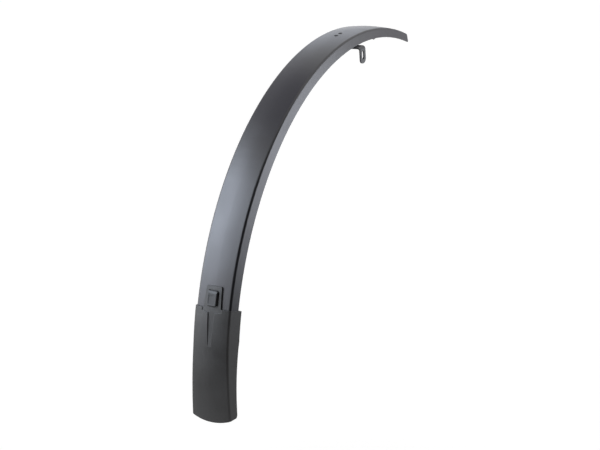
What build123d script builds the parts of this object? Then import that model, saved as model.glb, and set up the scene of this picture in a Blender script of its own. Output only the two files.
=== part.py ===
from build123d import *
from build123d.topology import SkipClean
import math
import os

# Bicycle mudguard for a 28 inch wheel: a folded metal blade, a rubber flap on its lower end,
# a strap bracket for the fork and a clip for the wire stay. Millimetres.
# Everything is set out round the wheel's axle, and moved at the end so that the origin is
# midway between the two bracket slots. +X is forwards, +Y is left, +Z is up.
# Angles are in degrees round the axle, from straight up towards the rear.

# Blade
FOLD_R = 370.0
HALF_WIDTH = 23.2
CROWN = 1.5
SHEET = 1.2
FLANGE = 12.6
FLARE_DEG = 19.1
FOLD_BEND = 2.2
FOLD_PARTS = 4
CROWN_PARTS = 2
BLADE_FRONT = -17.6
BLADE_REAR = 85.0
BLADE_CORNER = 3.0

# Mud flap
FLAP_WALL = 1.6
FLAP_BEND = 3.2
SLIP = 0.05
FLAP_CROWN = 2.9
FLAP_TOP = 77.6
FLAP_LIP = 3.5
LIP_WALL = 1.5
LIP_GRIP = 3.6
TAIL_BEND_R = 560.0
TAIL_LENGTH = 92.6
TAIL_SPARE = 5.0
TAIL_WIDEN = 2.7
TAIL_SECTIONS = 3
TAIL_END_BOW = 3.8

# The flap's lower side edge, as depths inside the fold's radius
SIDE_TOP_ANGLE = 83.0
SIDE_TOP_DEPTH = 15.0
SIDE_MID_ANGLE = 90.5
SIDE_MID_DEPTH = 10.6
SIDE_LOW_ANGLE = 97.9
SIDE_LOW_DEPTH = 6.2
SIDE_TURN_ANGLE = 98.65
SIDE_TURN_DEPTH = 3.2
SIDE_END_ANGLE = 98.9
SIDE_END_DEPTH = -1.0

# Tongue of the flap, and the flute below it
TONGUE_TOP = 73.5
TONGUE_WALL = 2.0
TONGUE_HALF_TOP = 10.4
TONGUE_HALF_BASE = 12.2
TONGUE_CORNER = 2.0
NOTCH_HALF = 13.6
NOTCH_LENGTH = 4.0
FLUTE_HALF_TOP = 5.0
FLUTE_HALF_END = 2.2
FLUTE_TOP_LENGTH = 5.5
FLUTE_END_LENGTH = 46.0
FLUTE_LAP = 2.0

# Clip cap, stay clip and screw
CLIP_ANGLE = 75.8
SEAT = 0.03
CAP_WIDTH = 12.8
CAP_LENGTH = 18.0
CAP_TOP = 5.2
CAP_CORNER = 1.6
CAP_EDGE = 0.5
CAP_GAP = 0.9
CAP_RAMP = 3.0
CAP_RAMP_DROP = 1.0
PANEL_WIDTH = 8.4
PANEL_LENGTH = 10.4
PANEL_CORNER = 0.8
PANEL_DEPTH = 0.3
CAP_BOSS_R = 4.0
BOSS_GAP = 0.2
SADDLE_WIDTH = 26.0
SADDLE_LENGTH = 26.0
SADDLE_DEPTH = 7.2
SADDLE_CORNER = 2.5
SADDLE_SHIFT = 4.5
STAY_R = 2.5
STAY_OFFSET = 10.5
STAY_MOUTH = 1.4
SCREW_R = 2.0
SCREW_GAP = 0.2
SCREW_HEAD_R = 3.8
SCREW_HEAD = 2.4
SCREW_BITE = 3.6
SCREW_SOCKET_R = 1.3
SCREW_SOCKET = 1.4

# Fork bracket and rivets
BRACKET_ANGLE = 7.9
STRAP = 2.0
STRAP_WIDTH = 14.4
STRAP_BEND = 2.2
PAD_HALF = 9.0
PAD_LENGTH = 26.0
PAD_CORNER = 3.0
UPRIGHT_Y = 18.2
LEG_GAP = 1.3
EAR_Y = 34.6
EAR_DROP = 20.2
EAR_CORNER = 6.0
SLOT_WIDTH = 6.0
SLOT_LENGTH = 11.6
SLOT_EDGE = 5.3
RIVET_PITCH = 11.6
RIVET_SHIFT = 2.0
RIVET_R = 2.0
RIVET_HEAD_R = 2.8
RIVET_HEAD = 0.8
RIVET_RIM = 0.25
RIVET_FLAT_R = 1.7
RIVET_TAIL_R = 2.9
RIVET_TAIL = 1.0
RIVET_SEAT = 0.08

SIN = math.sin(math.radians(FLARE_DEG))
COS = math.cos(math.radians(FLARE_DEG))
FAR = 60.0
NEAR = 1e-4


def radial_plane(angle, radius=0.0):
    """A plane across the blade: its x is the bike's left, its y points away from the axle."""
    a = math.radians(angle)
    out = Vector(-math.sin(a), 0, math.cos(a))
    return Plane(origin=out * radius, x_dir=(0, 1, 0), z_dir=Vector(0, 1, 0).cross(out))


def tangent_plane(angle, radius):
    """A plane that lies on the blade: its x is the bike's left, its y runs down the blade to the rear."""
    a = math.radians(angle)
    out = Vector(-math.sin(a), 0, math.cos(a))
    down = Vector(-math.cos(a), 0, -math.sin(a))
    return Plane(origin=out * radius, x_dir=(0, 1, 0), z_dir=Vector(0, 1, 0).cross(down))


def sweep_arc(face, start, end, clean=True):
    """Turn a section round the axle from one angle to the other. The section is drawn at its own plane."""
    placed = radial_plane(end) * face
    return revolve(placed, Axis.Y, revolution_arc=end - start, clean=clean)


def fold(offset, widen=0.0):
    """Where the crown and the flange would meet, this far outside the blade's outer face."""
    return Vector(HALF_WIDTH + widen + offset * (1 - SIN) / COS, FOLD_R + offset)


def on_flange(offset, reach, widen=0.0):
    """A point this far along the flange from the blade's fold, this far outside its outer face."""
    base = fold(0.0, widen)
    return base + Vector(SIN, -COS) * reach + Vector(COS, SIN) * offset


def mirrored(point):
    return Vector(-point.X, point.Y)


def split_arc(edge, parts):
    """An arc as this many equal arcs."""
    cuts = [edge @ (i / (2 * parts)) for i in range(2 * parts + 1)]
    return [ThreePointArc(*cuts[2 * i : 2 * i + 3]) for i in range(parts)]


def split_crown(edge, fold_parts=1):
    """A crown arc as two arcs that meet on the centreline, and a fold's arc as parts of its own."""
    if edge.geom_type != GeomType.CIRCLE:
        return [edge]
    return split_arc(edge, fold_parts if edge.radius < 2 * HALF_WIDTH else CROWN_PARTS)


def split_section(face, fold_parts=1):
    edges = []
    for edge in face.face().outer_wire().edges():
        edges += split_crown(edge, fold_parts)
    return make_face(edges)


def round_corners(face, points, radius):
    """Round the section's corners at these points, and at their mirror images."""
    wanted = []
    for v in face.vertices():
        if any(abs(abs(v.X) - p.X) < NEAR and abs(v.Y - p.Y) < NEAR for p in points):
            wanted.append(v)
    return fillet(wanted, radius)


def channel(outside, inside, outer_rise, inner_rise, side, bend, widen=0.0):
    """The section of a folded channel with rounded outer folds. side runs from an outer to an inner fold."""
    outer = fold(outside, widen)
    inner = fold(inside, widen)
    left = [mirrored(p) for p in reversed(side)]
    edges = [ThreePointArc(mirrored(outer), Vector(0, outer.Y + outer_rise), outer)]
    edges.append(Polyline(outer, *side, inner))
    edges.append(ThreePointArc(inner, Vector(0, inner.Y + inner_rise), mirrored(inner)))
    edges.append(Polyline(mirrored(inner), *left, mirrored(outer)))
    return round_corners(make_face(edges), [outer], bend)


def blade_section():
    side = [on_flange(0, FLANGE), on_flange(-SHEET, FLANGE)]
    face = channel(0, -SHEET, CROWN, CROWN, side, FOLD_BEND + SHEET)
    return split_section(round_corners(face, [fold(-SHEET)], FOLD_BEND), FOLD_PARTS)


def sleeve_section():
    """The flap where it wraps the blade, with a lip that grips the flange's free edge."""
    low = FLANGE + FLAP_LIP
    grip = FLANGE - LIP_GRIP
    pocket_end = FLANGE + SLIP
    pocket = -SHEET - SLIP
    deep = pocket - LIP_WALL
    side = [on_flange(FLAP_WALL, low), on_flange(deep, low), on_flange(deep, grip)]
    side += [on_flange(pocket, grip), on_flange(pocket, pocket_end), on_flange(SLIP, pocket_end)]
    face = channel(FLAP_WALL, SLIP, FLAP_CROWN, CROWN, side, FLAP_BEND)
    return split_section(round_corners(face, [fold(SLIP)], FOLD_BEND + SHEET + SLIP))


def tail_section(widen):
    """The flap below the blade, as thick as the sleeve and the blade together."""
    low = FLANGE + FLAP_LIP
    side = [on_flange(FLAP_WALL, low, widen), on_flange(-SHEET, low, widen)]
    return split_section(channel(FLAP_WALL, -SHEET, FLAP_CROWN, CROWN, side, FLAP_BEND, widen))


def crown_circle(offset, rise):
    """Centre height and radius of the crown's arc in the section."""
    p = fold(offset)
    radius = (p.X ** 2 + rise ** 2) / (2 * rise)
    return p.Y + rise - radius, radius


def crown_band(low, high, half):
    """A strip of the section between two crown arcs, each given as (centre height, radius)."""
    ends = [crown_height(circle, half) for circle in (low, high)]
    tops = [crown_height(circle, 0) for circle in (low, high)]
    edges = split_crown(ThreePointArc((-half, ends[0]), (0, tops[0]), (half, ends[0])))
    edges.append(Line((half, ends[0]), (half, ends[1])))
    edges += split_crown(ThreePointArc((half, ends[1]), (0, tops[1]), (-half, ends[1])))
    edges.append(Line((-half, ends[1]), (-half, ends[0])))
    return make_face(edges)


def grown(circle, amount):
    return circle[0], circle[1] + amount


def crown_height(circle, across):
    return circle[0] + math.sqrt(circle[1] ** 2 - across ** 2)


def plan_prism(angle, outline, low, high):
    """A plan outline drawn on the blade at this angle, made solid between two radii."""
    return extrude(tangent_plane(angle, low) * outline, high - low)


def arc_deg(length):
    """The angle that a length takes up along the crown."""
    return math.degrees(length / CROWN_OUT_R)


def side_plane(angle, radius):
    """A plane seen from the bike's right: its x points away from the axle."""
    a = math.radians(angle)
    out = Vector(-math.sin(a), 0, math.cos(a))
    return Plane(origin=out * radius, x_dir=out, z_dir=(0, 1, 0))


def polar(angle, radius):
    a = math.radians(angle)
    return Vector(-radius * math.sin(a), 0, radius * math.cos(a))


def radial_pin(angle, radius, low, high):
    return extrude(tangent_plane(angle, low) * Circle(radius), high - low)


# Sizes that follow from the ones above
BLADE_OUT = crown_circle(0, CROWN)
BLADE_IN = crown_circle(-SHEET, CROWN)
CROWN_OUT_R = FOLD_R + CROWN
CROWN_IN_R = CROWN_OUT_R - SHEET
FLANGE_END_R = on_flange(-SHEET, FLANGE).Y
LOW_R = FOLD_R - FAR / 4
HIGH_R = FOLD_R + FAR / 4
TONGUE_OUT = grown(BLADE_OUT, TONGUE_WALL)
TAIL_TOP = BLADE_REAR + arc_deg(SLIP)
TAIL_CENTRE = polar(TAIL_TOP, FOLD_R - TAIL_BEND_R)
RIVET_ANGLES = [BRACKET_ANGLE + arc_deg(RIVET_SHIFT + side * RIVET_PITCH / 2) for side in (-1, 1)]
CAP_TOP_R = CROWN_OUT_R + CAP_TOP

# The pad is straight along the blade, so it meets the crown at its front and rear edges.
PAD_SAG = CROWN_IN_R - math.sqrt(CROWN_IN_R ** 2 - PAD_LENGTH ** 2 / 4)
PAD_OUT = (BLADE_IN[0] - PAD_SAG, BLADE_IN[1] - SEAT)
PAD_IN = grown(PAD_OUT, -STRAP)
LEG_TOP_R = FLANGE_END_R - LEG_GAP
LEG_LOW_R = LEG_TOP_R - STRAP
EAR_END_R = LEG_LOW_R - EAR_DROP
SLOT_AT_R = EAR_END_R + SLOT_EDGE + SLOT_LENGTH / 2


def make_blade():
    blade = sweep_arc(blade_section(), BLADE_FRONT, BLADE_REAR, clean=False)
    cuts = [radial_pin(angle, RIVET_R, LOW_R, HIGH_R) for angle in RIVET_ANGLES]
    cuts.append(radial_pin(CLIP_ANGLE, CAP_BOSS_R + BOSS_GAP, LOW_R, HIGH_R))
    size = 2 * BLADE_CORNER
    centre = Pos(BLADE_CORNER, -BLADE_CORNER)
    corner = Pos(BLADE_CORNER / 2, -BLADE_CORNER / 2) * Rectangle(size, size)
    corner -= centre * Circle(BLADE_CORNER)
    corner -= centre * Rectangle(size, size, align=(Align.MIN, Align.CENTER))
    corner -= centre * Rectangle(size, size, align=(Align.CENTER, Align.MAX))
    cuts.append(extrude(side_plane(BLADE_FRONT, FLANGE_END_R) * corner, FAR, both=True))

    # The folds stay in narrow parts, which keep their roundness along the whole blade.
    with SkipClean():
        blade -= cuts
    return blade


def tail_plane(length):
    """The section plane this far down the tail, which leaves the blade's end on a wider curve."""
    turn = TAIL_TOP + math.degrees(length / TAIL_BEND_R)
    plane = radial_plane(turn)
    plane.origin = TAIL_CENTRE + polar(turn, TAIL_BEND_R - FOLD_R)
    return plane


def make_tail():
    """The flap below the blade's end, which spreads evenly and runs on past its lower edge."""
    faces = []
    for i in range(TAIL_SECTIONS):
        part_way = i / (TAIL_SECTIONS - 1)
        length = part_way * (TAIL_LENGTH + TAIL_SPARE)
        faces.append(tail_plane(length) * tail_section(TAIL_WIDEN * part_way))
    return loft(faces)


def make_side_cut():
    """What lies inside the flap's lower side edge and its rounded end, seen from the side."""
    top = polar(SIDE_TOP_ANGLE, FOLD_R - SIDE_TOP_DEPTH)
    mid = polar(SIDE_MID_ANGLE, FOLD_R - SIDE_MID_DEPTH)
    low = polar(SIDE_LOW_ANGLE, FOLD_R - SIDE_LOW_DEPTH)
    turn = polar(SIDE_TURN_ANGLE, FOLD_R - SIDE_TURN_DEPTH)
    end = polar(SIDE_END_ANGLE, FOLD_R - SIDE_END_DEPTH)
    past_angle = SIDE_END_ANGLE + arc_deg(FAR)
    past = polar(past_angle, FOLD_R - SIDE_END_DEPTH)
    back = polar(past_angle, FOLD_R - FAR)
    inside = polar(SIDE_TOP_ANGLE, FOLD_R - FAR)
    edges = [ThreePointArc(top, mid, low), ThreePointArc(low, turn, end)]
    edges.append(Polyline(end, past, back, inside, top))
    return extrude(make_face(edges), FAR, dir=(0, 1, 0), both=True)


def make_flap():
    """The sleeve with its tongue, and the tail below the blade's end."""
    sleeve = sweep_arc(sleeve_section(), TONGUE_TOP, TAIL_TOP)

    # Above the sleeve's top edge only the tongue is left.
    length = math.radians(FLAP_TOP - TONGUE_TOP) * CROWN_OUT_R
    tongue = Polygon(
        (-TONGUE_HALF_TOP, -length),
        (TONGUE_HALF_TOP, -length),
        (TONGUE_HALF_BASE, 0),
        (TONGUE_HALF_BASE, length),
        (-TONGUE_HALF_BASE, length),
        (-TONGUE_HALF_BASE, 0),
        align=None,
    )
    tongue = fillet(tongue.vertices().group_by(Axis.Y)[0], TONGUE_CORNER)
    ring = Pos(0, FOLD_R) * Rectangle(2 * FAR, 2 * FAR)
    trim = sweep_arc(ring, TONGUE_TOP - arc_deg(length), FLAP_TOP)
    sleeve -= trim - plan_prism(FLAP_TOP, tongue, LOW_R, HIGH_R)

    # The tongue is thinner than the sleeve, and the sleeve is stepped down to it round its root.
    notch = Polygon(
        (-NOTCH_HALF, -FAR),
        (NOTCH_HALF, -FAR),
        (NOTCH_HALF, NOTCH_LENGTH),
        (FLUTE_HALF_TOP, FLUTE_TOP_LENGTH),
        (-FLUTE_HALF_TOP, FLUTE_TOP_LENGTH),
        (-NOTCH_HALF, NOTCH_LENGTH),
        align=None,
    )
    above = crown_band(TONGUE_OUT, grown(TONGUE_OUT, FAR), HALF_WIDTH)
    above = sweep_arc(above, TONGUE_TOP - arc_deg(length), TAIL_TOP)
    sleeve -= above & plan_prism(FLAP_TOP, notch, LOW_R, HIGH_R)
    sleeve -= clip_prism(CAP_GAP, LOW_R, HIGH_R)
    flap = sleeve + make_tail()
    flap -= make_flute()
    flap -= make_side_cut()
    flap &= make_end_keep()
    return flap


def make_flute():
    """A shallow groove down the flap from the step, with a flat floor that runs out at its lower end."""
    crest = FOLD_R + FLAP_WALL + FLAP_CROWN
    clear = crest + FAR / 4
    top_angle = FLAP_TOP + arc_deg(FLUTE_TOP_LENGTH - FLUTE_LAP)
    end_angle = FLAP_TOP + arc_deg(FLUTE_END_LENGTH)
    floor = Line(polar(top_angle, CROWN_OUT_R + TONGUE_WALL), polar(end_angle, crest))
    over = Polyline(floor @ 1, polar(end_angle, clear), polar(top_angle, clear), floor @ 0)
    wedge = extrude(make_face([floor, over]), FAR, dir=(0, 1, 0), both=True)
    outline = Polygon(
        (-FLUTE_HALF_TOP, 0),
        (FLUTE_HALF_TOP, 0),
        (FLUTE_HALF_END, FLUTE_END_LENGTH),
        (-FLUTE_HALF_END, FLUTE_END_LENGTH),
        align=None,
    )
    return wedge & plan_prism(FLAP_TOP, outline, LOW_R, HIGH_R)


def make_end_keep():
    """All of the flap down to its bowed lower edge, drawn flat on the lower end."""
    end_angle = TAIL_TOP + math.degrees(TAIL_LENGTH / TAIL_BEND_R)
    plane = tangent_plane(end_angle, 0)
    plane.origin = TAIL_CENTRE + polar(end_angle, TAIL_BEND_R - FAR)
    half = FAR
    low = -TAIL_END_BOW * (half / HALF_WIDTH) ** 2
    high = low - 2 * TAIL_LENGTH
    edges = [ThreePointArc((-half, low), (0, 0), (half, low))]
    edges.append(Polyline((half, low), (half, high), (-half, high), (-half, low)))
    return extrude(plane * make_face(edges), FAR * 2)


def clip_prism(gap, low, high):
    """The clip cap's outline, with a gap round it, between two radii."""
    outline = RectangleRounded(CAP_WIDTH + 2 * gap, CAP_LENGTH + 2 * gap, CAP_CORNER + gap)
    return plan_prism(CLIP_ANGLE, outline, low, high)


def under_crown(circle):
    """Everything inside a crown surface near the blade's centreline."""
    half = HALF_WIDTH
    floor = (circle[0] - FAR, circle[1])
    return crown_band(floor, circle, half)


def make_cap_ramp():
    """What is cut off the cap's top so that it slopes down towards its upper end."""
    start = CAP_LENGTH / 2 - CAP_RAMP
    end = start + 2 * CAP_RAMP
    high = CAP_TOP_R + CAP_RAMP_DROP
    low = CAP_TOP_R - 2 * CAP_RAMP_DROP
    profile = Polygon((CAP_TOP_R, start), (low, end), (high, end), (high, start), align=None)
    return extrude(side_plane(CLIP_ANGLE, 0) * profile, FAR, both=True)


def make_cap():
    """The button over the screw: a ramp at its upper end and a shallow panel in its top."""
    cap = clip_prism(0, CROWN_IN_R, CAP_TOP_R)
    top = cap.faces().sort_by(lambda f: f.center().length)[-1]
    cap = chamfer(top.edges(), CAP_EDGE)
    cap -= make_cap_ramp()
    panel = Pos(0, CAP_RAMP / 2) * RectangleRounded(PANEL_WIDTH, PANEL_LENGTH, PANEL_CORNER)
    cap -= plan_prism(CLIP_ANGLE, panel, CAP_TOP_R - PANEL_DEPTH, CAP_TOP_R + PANEL_DEPTH)
    reach = arc_deg(CAP_LENGTH)
    cap -= sweep_arc(under_crown(grown(BLADE_OUT, SEAT)), CLIP_ANGLE - reach, CLIP_ANGLE + reach)
    cap += radial_pin(CLIP_ANGLE, CAP_BOSS_R, CROWN_IN_R, CROWN_OUT_R + CAP_EDGE)
    cap -= radial_pin(CLIP_ANGLE, SCREW_R, LOW_R, CROWN_IN_R + SCREW_BITE + SCREW_GAP)
    return cap


def make_saddle():
    bottom = CROWN_IN_R - SADDLE_DEPTH
    outline = Pos(0, SADDLE_SHIFT) * RectangleRounded(SADDLE_WIDTH, SADDLE_LENGTH, SADDLE_CORNER)
    saddle = plan_prism(CLIP_ANGLE, outline, bottom, HIGH_R)
    reach = arc_deg(SADDLE_LENGTH)
    saddle &= sweep_arc(under_crown(grown(BLADE_IN, -SEAT)), CLIP_ANGLE - reach, CLIP_ANGLE + reach)
    saddle -= radial_pin(CLIP_ANGLE, SCREW_R + SCREW_GAP, LOW_R, HIGH_R)
    saddle -= radial_pin(CLIP_ANGLE, SCREW_HEAD_R + SCREW_GAP, LOW_R, bottom + SCREW_HEAD)
    plane = tangent_plane(CLIP_ANGLE, bottom + STAY_MOUTH)
    stay = Pos(0, STAY_OFFSET, 0) * Rot(0, 90, 0) * Cylinder(STAY_R, FAR)
    saddle -= plane * stay
    return saddle


def make_screw():
    bottom = CROWN_IN_R - SADDLE_DEPTH
    screw = radial_pin(CLIP_ANGLE, SCREW_HEAD_R, bottom, bottom + SCREW_HEAD)
    screw += radial_pin(CLIP_ANGLE, SCREW_R, bottom, CROWN_IN_R + SCREW_BITE)
    socket = RegularPolygon(SCREW_SOCKET_R, 6, major_radius=False)
    screw -= extrude(tangent_plane(CLIP_ANGLE, bottom) * socket, SCREW_SOCKET)
    return screw


def bracket_section():
    """A strap formed to a hat: a pad under the crown, two uprights, two legs and two ears."""
    out = UPRIGHT_Y + STRAP
    shoulder = crown_height(PAD_OUT, out)
    inner = crown_height(PAD_IN, UPRIGHT_Y)
    upper = [Vector(out, LEG_TOP_R), Vector(EAR_Y, LEG_TOP_R), Vector(EAR_Y, EAR_END_R)]
    ear_in = EAR_Y - STRAP
    lower = [Vector(ear_in, EAR_END_R), Vector(ear_in, LEG_LOW_R), Vector(UPRIGHT_Y, LEG_LOW_R)]
    side = [Vector(out, shoulder), *upper, *lower, Vector(UPRIGHT_Y, inner)]
    edges = [ThreePointArc((-out, shoulder), (0, crown_height(PAD_OUT, 0)), (out, shoulder))]
    edges.append(Polyline(*side))
    edges.append(ThreePointArc((UPRIGHT_Y, inner), (0, crown_height(PAD_IN, 0)), (-UPRIGHT_Y, inner)))
    edges.append(Polyline(*[mirrored(p) for p in reversed(side)]))
    wide = [Vector(out, shoulder), Vector(EAR_Y, LEG_TOP_R), Vector(UPRIGHT_Y, LEG_LOW_R)]
    tight = [Vector(UPRIGHT_Y, inner), Vector(out, LEG_TOP_R), Vector(ear_in, LEG_LOW_R)]
    face = round_corners(make_face(edges), wide, STRAP_BEND + STRAP)
    return round_corners(face, tight, STRAP_BEND)


def make_bracket():
    """The strap's section, run straight, trimmed to its plan, with a slot in each ear."""
    bracket = extrude(radial_plane(BRACKET_ANGLE) * bracket_section(), PAD_LENGTH, both=True)
    plan = RectangleRounded(2 * PAD_HALF, PAD_LENGTH, PAD_CORNER) + Rectangle(4 * EAR_Y, STRAP_WIDTH)
    bracket &= plan_prism(BRACKET_ANGLE, plan, EAR_END_R - FAR, HIGH_R)
    ends = bracket.edges().filter_by(Axis.Y).sort_by(lambda e: math.hypot(e.center().X, e.center().Z))[:4]
    bracket = fillet(ends, EAR_CORNER)
    slot = side_plane(BRACKET_ANGLE, SLOT_AT_R) * SlotOverall(SLOT_LENGTH, SLOT_WIDTH)
    bracket -= extrude(slot, FAR, both=True)
    bracket -= [radial_pin(angle, RIVET_R, LOW_R, HIGH_R) for angle in RIVET_ANGLES]
    return bracket


def make_rivet(angle):
    pad_low = crown_height(PAD_IN, 0) - RIVET_SEAT
    head_top = CROWN_OUT_R + RIVET_HEAD
    profile = Polyline(
        (0, head_top),
        (RIVET_FLAT_R, head_top),
        (RIVET_HEAD_R, CROWN_OUT_R + RIVET_RIM),
        (RIVET_HEAD_R, CROWN_OUT_R),
        (RIVET_R, CROWN_OUT_R),
        (RIVET_R, pad_low),
        (RIVET_TAIL_R, pad_low),
        (RIVET_TAIL_R, pad_low - RIVET_TAIL),
        (0, pad_low - RIVET_TAIL),
        close=True,
    )
    return revolve(radial_plane(angle) * make_face(profile), Axis((0, 0, 0), polar(angle, 1)))


def main():
    os.makedirs("parts", exist_ok=True)
    pieces = {
        "blade": make_blade(),
        "mud_flap": make_flap(),
        "clip_cap": make_cap(),
        "stay_clip": make_saddle(),
        "clip_screw": make_screw(),
        "fork_bracket": make_bracket(),
    }
    for name, angle in zip(("bracket_rivet_front", "bracket_rivet_rear"), RIVET_ANGLES):
        pieces[name] = make_rivet(angle)
    to_origin = Pos(polar(BRACKET_ANGLE, SLOT_AT_R) * -1)
    for name, piece in pieces.items():
        export_step(to_origin * piece, os.path.join("parts", name + ".step"))


if __name__ == "__main__":
    main()
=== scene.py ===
"""A bicycle mudguard as a studio product shot.

It has a satin black blade, a rubber flap, a fork bracket and a stay clip. Metres, in the CAD frame:
the origin is midway between the bracket's slots, +X is forwards, +Y left and +Z up.
"""

import math

import bpy
from mathutils import Matrix, Vector

# Camera, fitted to the photograph's view
CAMERA_AT = (-1.50035, -0.79067, 0.22851)
CAMERA_RIGHT = (0.49351, -0.86973, -0.00101)
CAMERA_UP = (0.23048, 0.12966, 0.96440)
CAMERA_LENS = 76.65
SENSOR = 36.0

# The wheel that the guard goes round, which would stand on the floor
AXLE_HEIGHT = -0.3420
TYRE_R = 0.346

# Floor, sky and overhead light
AIM = Vector((-0.10, 0.0, -0.16))
FLOOR_SIZE = 40.0
FLOOR_CORNERS = ((-1, -1), (1, -1), (1, 1), (-1, 1))
WHITE = (1.0, 1.0, 1.0, 1.0)
FLOOR_COLOUR = (0.86, 0.86, 0.86, 1.0)
FLOOR_GLOW = 0.34
WORLD_AMBIENT = 0.5
OVERHEAD = 0.9
OVERHEAD_SPREAD = math.radians(35)

# Softboxes. A bearing is the azimuth and elevation of the box as the object sees it, in degrees.
COOL = (0.775, 0.87, 1.0)
PALE_BLUE = (0.85, 0.90, 1.0)
SKY_BLUE = (0.65, 0.76, 1.0)
NEUTRAL = (1.0, 1.0, 1.0)
SOFTBOXES = {
    "key": dict(bearing=(128.5, 28), distance=1.7, size=(1.18, 1.25), radiance=6.1, colour=COOL),
    "key_right": dict(bearing=(150, 22), distance=1.7, size=(0.45, 0.6), radiance=4.2, colour=COOL),
    "key_foot": dict(bearing=(143, -2), distance=1.7, size=(1.3, 0.4), radiance=2.8, colour=PALE_BLUE),
    "side": dict(bearing=(-57, 4), distance=1.7, size=(1.2, 1.1), radiance=4.0, colour=PALE_BLUE),
    "back": dict(bearing=(32, 28), distance=2.0, size=(0.9, 1.0), radiance=0.52, colour=SKY_BLUE),
    "back_low": dict(bearing=(30, 6), distance=2.0, size=(0.9, 0.6), radiance=0.35, colour=NEUTRAL),
    "low": dict(bearing=(115, -3), distance=1.3, size=(0.8, 0.5), radiance=1.3, colour=NEUTRAL),
}

# Flags, which are cards that show only in the gloss
FLAG_STEPS = 16
FLAG_DISTANCE = 0.9
FLAGS = {
    "camera_flag": dict(azimuths=(-185, -82), elevations=(-35, 55), shade=(0.0, 0.0, 0.0)),
    "low_flag": dict(azimuths=(152, 185), elevations=(-35.5, -8), shade=(0.1, 0.1, 0.1)),
    "foot_flag": dict(azimuths=(115, 152), elevations=(-35.5, -27), shade=(0.3, 0.3, 0.3)),
    "top_flag": dict(azimuths=(48, 112), elevations=(46, 62), shade=(0.62, 0.60, 0.68)),
    "zenith_flag": dict(azimuths=(40, 170), elevations=(62, 88), shade=(0.44, 0.42, 0.49)),
    "front_flag": dict(azimuths=(-18, 10), elevations=(-15, 32), shade=(0.69, 0.67, 0.73)),
}

# What all finishes share. An edge is worn where its rounding turns the surface: WEAR_TURN is the
# cosine of that turn where wear starts and where it is full.
FULL_RANGE = (0.0, 1.0)
EDGE_SAMPLES = 8
WEAR_TURN = (0.985, 0.85)
WEAR_PATCH = 5.0
WEAR_RANGE = (0.42, 0.60)
MOTTLE_DETAIL = 6.0
GRAIN_DETAIL = 3.0
SMUDGE = 0.25
SMUDGE_SCALE = 0.6
SMUDGE_RANGE = (0.48, 0.68)

# Each finish. grain and mottle are scales of noise, per metre. grain_depth and edge are lengths.
# spread is the share by which colour and gloss drift, and worn is the colour of rubbed edges.
FINISHES = {
    "blade_satin": dict(
        colour=(0.007, 0.0073, 0.008),
        roughness=0.345,
        specular=0.75,
        tint=(0.99, 0.972, 1.0),
        grain=1300,
        grain_depth=0.000012,
        mottle=22,
        spread=0.12,
        edge=0.0003,
        worn=(0.03, 0.03, 0.032),
    ),
    "flap_rubber": dict(
        colour=(0.0195, 0.0186, 0.0182),
        roughness=0.43,
        specular=0.55,
        grain=1600,
        grain_depth=0.000032,
        mottle=45,
        spread=0.22,
        edge=0.0005,
        worn=(0.028, 0.028, 0.028),
    ),
    "clip_plastic": dict(
        colour=(0.020, 0.020, 0.021),
        roughness=0.46,
        specular=0.54,
        grain=1700,
        grain_depth=0.00002,
        mottle=120,
        spread=0.15,
        edge=0.0003,
        worn=(0.05, 0.05, 0.052),
    ),
    "fixing_steel": dict(
        colour=(0.52, 0.52, 0.53),
        roughness=0.34,
        specular=0.5,
        metallic=1.0,
        grain=2400,
        grain_depth=0.00001,
        mottle=300,
        spread=0.10,
        edge=0.0002,
        worn=(0.62, 0.62, 0.63),
    ),
    "bracket_paint": dict(
        colour=(0.036, 0.036, 0.039),
        roughness=0.39,
        specular=0.5,
        grain=1100,
        grain_depth=0.00003,
        mottle=90,
        spread=0.18,
        edge=0.0004,
        worn=(0.14, 0.14, 0.145),
    ),
    "rivet_satin": dict(
        colour=(0.012, 0.012, 0.013),
        roughness=0.38,
        specular=0.7,
        grain=1800,
        grain_depth=0.00001,
        mottle=300,
        spread=0.10,
        edge=0.0002,
        worn=(0.03, 0.03, 0.032),
    ),
}
DRESSED = {
    "blade_satin": ["blade"],
    "flap_rubber": ["mud_flap"],
    "clip_plastic": ["clip_cap", "stay_clip"],
    "fixing_steel": ["clip_screw"],
    "bracket_paint": ["fork_bracket"],
    "rivet_satin": ["bracket_rivet_front", "bracket_rivet_rear"],
}

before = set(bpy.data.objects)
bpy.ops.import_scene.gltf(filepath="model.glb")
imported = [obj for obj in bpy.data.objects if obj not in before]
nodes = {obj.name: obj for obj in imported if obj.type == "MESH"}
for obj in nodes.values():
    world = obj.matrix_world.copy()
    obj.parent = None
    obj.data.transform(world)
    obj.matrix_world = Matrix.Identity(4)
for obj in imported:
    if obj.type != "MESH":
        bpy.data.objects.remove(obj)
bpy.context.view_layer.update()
scene = bpy.context.scene
lit_by_boxes = bpy.data.collections.new("lit_by_boxes")
for node in nodes.values():
    lit_by_boxes.objects.link(node)


def direction(azimuth, elevation):
    """Unit vector from the object, in degrees. Azimuth runs from +X to +Y, elevation up from level."""
    a = math.radians(azimuth)
    e = math.radians(elevation)
    return Vector((math.cos(a) * math.cos(e), math.sin(a) * math.cos(e), math.sin(e)))


def facing(point, target):
    """Placement at a point with its -Z towards a target and its X level."""
    turn = (target - point).to_track_quat("-Z", "Y")
    return Matrix.Translation(point) @ turn.to_matrix().to_4x4()


def add_object(name, data):
    obj = bpy.data.objects.new(name, data)
    scene.collection.objects.link(obj)
    return obj


def mesh_object(name, points, faces):
    mesh = bpy.data.meshes.new(name)
    mesh.from_pydata(points, [], faces)
    return add_object(name, mesh)


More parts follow.
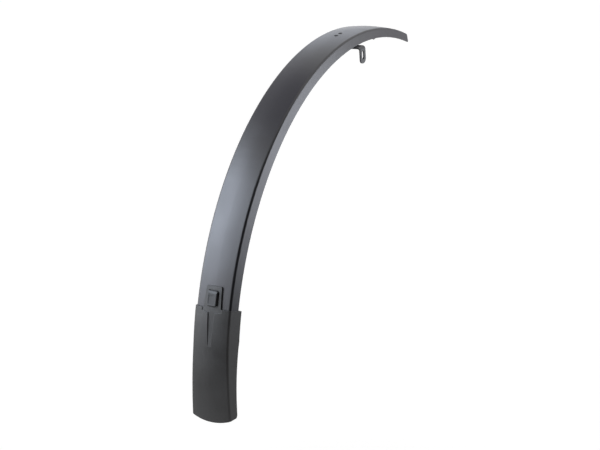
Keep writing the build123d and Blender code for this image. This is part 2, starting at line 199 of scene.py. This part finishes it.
def add_camera():
    data = bpy.data.cameras.new("camera")
    data.sensor_fit = "HORIZONTAL"
    data.sensor_width = SENSOR
    data.lens = CAMERA_LENS
    camera = add_object("camera", data)
    right = Vector(CAMERA_RIGHT)
    up = Vector(CAMERA_UP)
    back = right.cross(up)
    axes = Matrix((right, up, back)).transposed().to_4x4()
    camera.matrix_world = Matrix.Translation(CAMERA_AT) @ axes
    scene.camera = camera


def new_node(tree, kind, **inputs):
    """A shader node, with input values given by socket name."""
    node = tree.nodes.new(kind)
    for name, value in inputs.items():
        node.inputs[name.replace("_", " ")].default_value = value
    return node


def new_math(tree, operation, *values):
    """The result of one operation on numbers and sockets."""
    node = tree.nodes.new("ShaderNodeMath")
    node.operation = operation
    for socket, value in zip(node.inputs, values):
        if hasattr(value, "is_output"):
            tree.links.new(value, socket)
        else:
            socket.default_value = value
    return node.outputs[0]


def bare_material(name):
    """A material with only an output in its tree. Returns it, its tree and its surface socket."""
    material = bpy.data.materials.new(name)
    material.use_nodes = True
    tree = material.node_tree
    tree.nodes.clear()
    out = tree.nodes.new("ShaderNodeOutputMaterial")
    return material, tree, out.inputs["Surface"]


def seen_as_background(tree):
    """1 for the rays that show the background: from the camera, in gloss and through glass."""
    rays = tree.nodes.new("ShaderNodeLightPath").outputs
    gloss = new_math(tree, "MAXIMUM", rays["Is Glossy Ray"], rays["Is Transmission Ray"])
    return new_math(tree, "MAXIMUM", rays["Is Camera Ray"], gloss)


def add_world():
    """White where it is seen, and a dimmer sky for the light that it gives."""
    world = bpy.data.worlds.new("studio")
    scene.world = world
    world.use_nodes = True
    tree = world.node_tree
    shown = seen_as_background(tree)
    strength = new_math(tree, "MULTIPLY_ADD", shown, 1.0 - WORLD_AMBIENT, WORLD_AMBIENT)
    sky = tree.nodes["Background"]
    sky.inputs["Color"].default_value = WHITE
    tree.links.new(strength, sky.inputs["Strength"])


def add_floor():
    """A pale floor where the wheel would stand."""
    z = AXLE_HEIGHT - TYRE_R
    half = FLOOR_SIZE / 2
    points = [(x * half, y * half, z) for x, y in FLOOR_CORNERS]
    floor = mesh_object("floor", points, [(0, 1, 2, 3)])
    material, tree, surface_socket = bare_material("floor_white")
    matt = new_node(tree, "ShaderNodeBsdfDiffuse", Color=FLOOR_COLOUR)
    glow = new_node(tree, "ShaderNodeEmission", Color=WHITE)
    strength = new_math(tree, "MULTIPLY", seen_as_background(tree), FLOOR_GLOW)
    tree.links.new(strength, glow.inputs["Strength"])
    both = tree.nodes.new("ShaderNodeAddShader")
    tree.links.new(matt.outputs[0], both.inputs[0])
    tree.links.new(glow.outputs[0], both.inputs[1])
    tree.links.new(both.outputs[0], surface_socket)
    floor.data.materials.append(material)


def add_overhead():
    """A broad light from straight above, which gives the floor its tone and the object's soft shadow."""
    data = bpy.data.lights.new("overhead", "SUN")
    data.energy = OVERHEAD
    data.angle = OVERHEAD_SPREAD
    light = add_object("overhead", data)
    light.visible_glossy = False


def add_softbox(name, bearing, distance, size, radiance, colour):
    """A rectangular light of a given brightness that faces the object."""
    width, height = size
    data = bpy.data.lights.new(name, "AREA")
    data.shape = "RECTANGLE"
    data.size = width
    data.size_y = height
    data.energy = radiance * math.pi * width * height
    data.color = colour
    light = add_object(name, data)
    light.matrix_world = facing(AIM + direction(*bearing) * distance, AIM)
    light.visible_camera = False
    light.light_linking.receiver_collection = lit_by_boxes


def add_flag(name, azimuths, elevations, shade):
    """A curved card that shows only in the gloss, as one set up beside a camera does.

    It runs between two azimuths and two elevations, in degrees."""
    columns = FLAG_STEPS + 1
    points = []
    for row in range(columns):
        elevation = elevations[0] + (elevations[1] - elevations[0]) * row / FLAG_STEPS
        for column in range(columns):
            azimuth = azimuths[0] + (azimuths[1] - azimuths[0]) * column / FLAG_STEPS
            points.append(AIM + direction(azimuth, elevation) * FLAG_DISTANCE)
    faces = []
    for row in range(FLAG_STEPS):
        for column in range(FLAG_STEPS):
            first = row * columns + column
            faces.append((first, first + 1, first + columns + 1, first + columns))
    flag = mesh_object(name, points, faces)
    material, tree, surface_socket = bare_material(name)
    card = new_node(tree, "ShaderNodeEmission", Color=(*shade, 1.0))
    tree.links.new(card.outputs[0], surface_socket)
    flag.data.materials.append(material)
    flag.visible_camera = False
    flag.visible_diffuse = False
    flag.visible_shadow = False


def ranged(tree, value, source, target):
    """A value carried from one range to another, and held at its ends."""
    node = new_node(
        tree,
        "ShaderNodeMapRange",
        From_Min=source[0],
        From_Max=source[1],
        To_Min=target[0],
        To_Max=target[1],
    )
    tree.links.new(value, node.inputs["Value"])
    return node.outputs["Result"]


def mixed(tree, factor, first, second):
    """A colour between two colours. Either may be a socket."""
    node = tree.nodes.new("ShaderNodeMix")
    node.data_type = "RGBA"
    tree.links.new(factor, node.inputs["Factor"])
    for socket, colour in (("A", first), ("B", second)):
        if hasattr(colour, "is_output"):
            tree.links.new(colour, node.inputs[socket])
        else:
            node.inputs[socket].default_value = (*colour, 1.0)
    return node.outputs["Result"]


def noise(tree, scale, detail):
    node = new_node(tree, "ShaderNodeTexNoise", Scale=scale, Detail=detail)
    place = tree.nodes.new("ShaderNodeTexCoord")
    tree.links.new(place.outputs["Object"], node.inputs["Vector"])
    return node.outputs["Fac"]


def rounded_edges(tree, radius):
    """The surface's normal, with its edges rounded."""
    rounded = new_node(tree, "ShaderNodeBevel", Radius=radius)
    rounded.samples = EDGE_SAMPLES
    return rounded.outputs["Normal"]


def edge_rub(tree, normal):
    """How far the rounding turns the surface: 0 on open faces, up to 1 on edges."""
    shape = tree.nodes.new("ShaderNodeNewGeometry")
    turn = tree.nodes.new("ShaderNodeVectorMath")
    turn.operation = "DOT_PRODUCT"
    tree.links.new(normal, turn.inputs[0])
    tree.links.new(shape.outputs["Normal"], turn.inputs[1])
    return ranged(tree, turn.outputs["Value"], WEAR_TURN, FULL_RANGE)


def around(value, spread):
    return value * (1 - spread), value * (1 + spread)


def surface(
    name,
    colour,
    roughness,
    specular,
    grain,
    grain_depth,
    mottle,
    spread,
    edge,
    worn,
    tint=NEUTRAL,
    metallic=0.0,
):
    """A moulded or coated finish.

    Fine grain is bump. Colour and gloss drift over the surface, smudges change the gloss, and the
    edges are a little rounded and worn to another colour."""
    material = bpy.data.materials.new(name)
    material.use_nodes = True
    tree = material.node_tree
    shader = tree.nodes["Principled BSDF"]
    shader.inputs["Specular IOR Level"].default_value = specular
    shader.inputs["Specular Tint"].default_value = (*tint, 1.0)
    shader.inputs["Metallic"].default_value = metallic

    normal = rounded_edges(tree, edge)
    drift = noise(tree, mottle, MOTTLE_DETAIL)
    dull, bright = zip(*[around(part, spread) for part in colour])
    coat = mixed(tree, drift, dull, bright)
    patchy = ranged(tree, noise(tree, mottle * WEAR_PATCH, MOTTLE_DETAIL), WEAR_RANGE, FULL_RANGE)
    wear = new_math(tree, "MULTIPLY", edge_rub(tree, normal), patchy)
    tree.links.new(mixed(tree, wear, coat, worn), shader.inputs["Base Color"])

    polish = ranged(tree, drift, FULL_RANGE, around(roughness, spread))
    smears = noise(tree, mottle * SMUDGE_SCALE, MOTTLE_DETAIL)
    smudge = ranged(tree, smears, SMUDGE_RANGE, (0.0, SMUDGE * roughness))
    tree.links.new(new_math(tree, "ADD", polish, smudge), shader.inputs["Roughness"])

    bump = new_node(tree, "ShaderNodeBump", Strength=1.0, Distance=grain_depth)
    tree.links.new(noise(tree, grain, GRAIN_DETAIL), bump.inputs["Height"])
    tree.links.new(normal, bump.inputs["Normal"])
    tree.links.new(bump.outputs["Normal"], shader.inputs["Normal"])
    return material


def add_materials():
    finishes = {name: surface(name, **finish) for name, finish in FINISHES.items()}
    for name, pieces in DRESSED.items():
        for piece in pieces:
            slots = nodes[piece].data.materials
            slots.clear()
            slots.append(finishes[name])


add_camera()
add_world()
add_floor()
add_overhead()
for name, box in SOFTBOXES.items():
    add_softbox(name, **box)
for name, flag in FLAGS.items():
    add_flag(name, **flag)
add_materials()

scene.view_settings.view_transform = "Standard"
